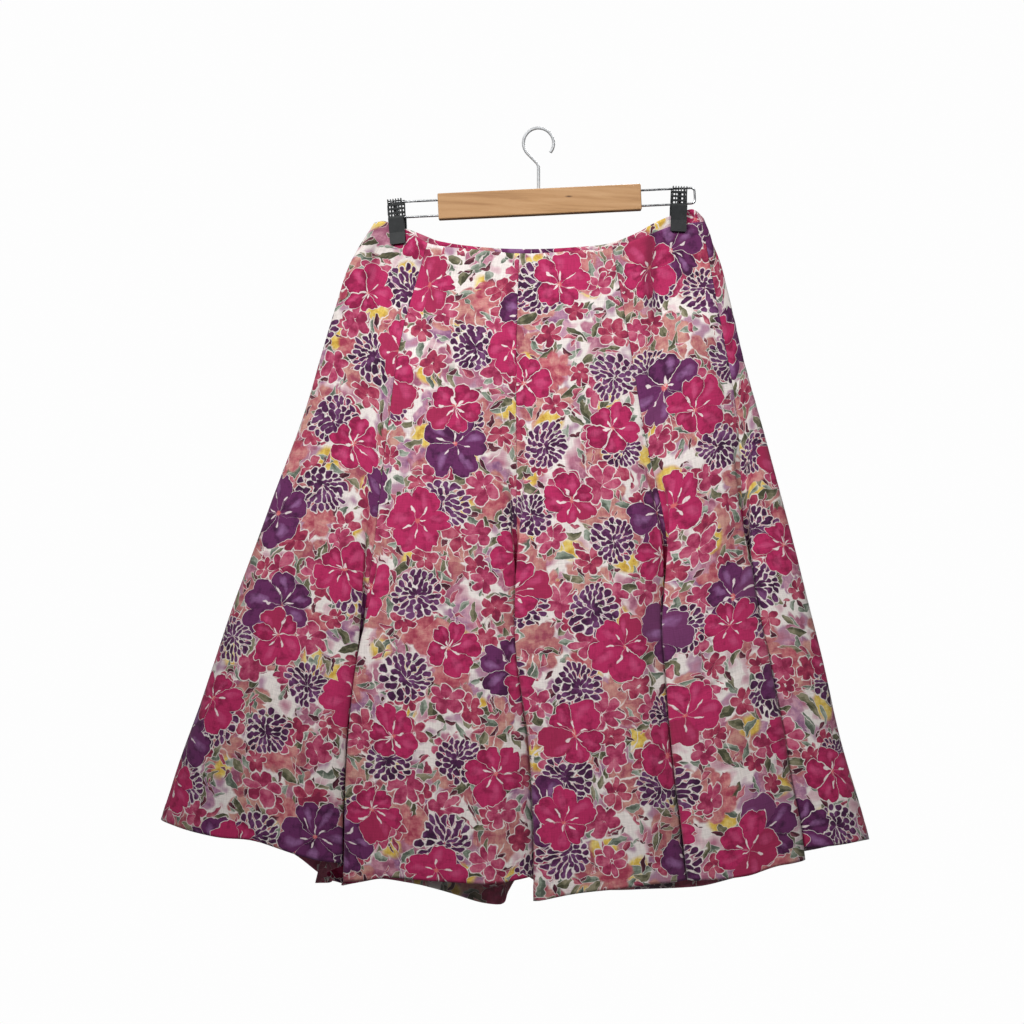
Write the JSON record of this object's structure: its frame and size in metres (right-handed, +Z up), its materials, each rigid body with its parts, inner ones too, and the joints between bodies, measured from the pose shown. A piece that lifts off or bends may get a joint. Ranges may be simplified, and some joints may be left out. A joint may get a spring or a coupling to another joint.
{
  "type": "a-line skirt on clip hanger",
  "caption": "Knee-length A-line skirt of flared printed gores with deep folds at the seams, hung by its waist from a wooden-bar hanger with wire loops and pinch clips.",
  "frame": {"origin": "top of the inside of the hook's crook, where a rail carries the hanger", "axes": "+Z up, -Y the front of the skirt, +X to the right seen from the front"},
  "size_m": [0.8134, 0.1543, 0.9084],
  "materials": {
    "printed_cloth": "matte linen and cotton weave with an all-over flower print",
    "bar_wood": "satin varnished beech",
    "hanger_wire": "bright plated steel wire",
    "clip_plastic": "moulded black plastic",
    "spring_steel": "bent spring strip"
  },
  "bodies": {
    "root": {"gore_front_left_side": "printed_cloth", "gore_front_left": "printed_cloth", "gore_front_right": "printed_cloth", "gore_front_right_side": "printed_cloth", "gore_back_right_side": "printed_cloth", "gore_back_right": "printed_cloth", "gore_back_left": "printed_cloth", "gore_back_left_side": "printed_cloth", "waist_facing_back": "printed_cloth", "hanger_bar": "bar_wood", "hook": "hanger_wire", "wire_loop_left": "hanger_wire", "wire_loop_right": "hanger_wire", "clip_left_front_jaw": "clip_plastic", "clip_left_back_jaw": "clip_plastic", "clip_left_spring": "spring_steel", "clip_right_front_jaw": "clip_plastic", "clip_right_back_jaw": "clip_plastic", "clip_right_spring": "spring_steel"}
  },
  "joints": []
}
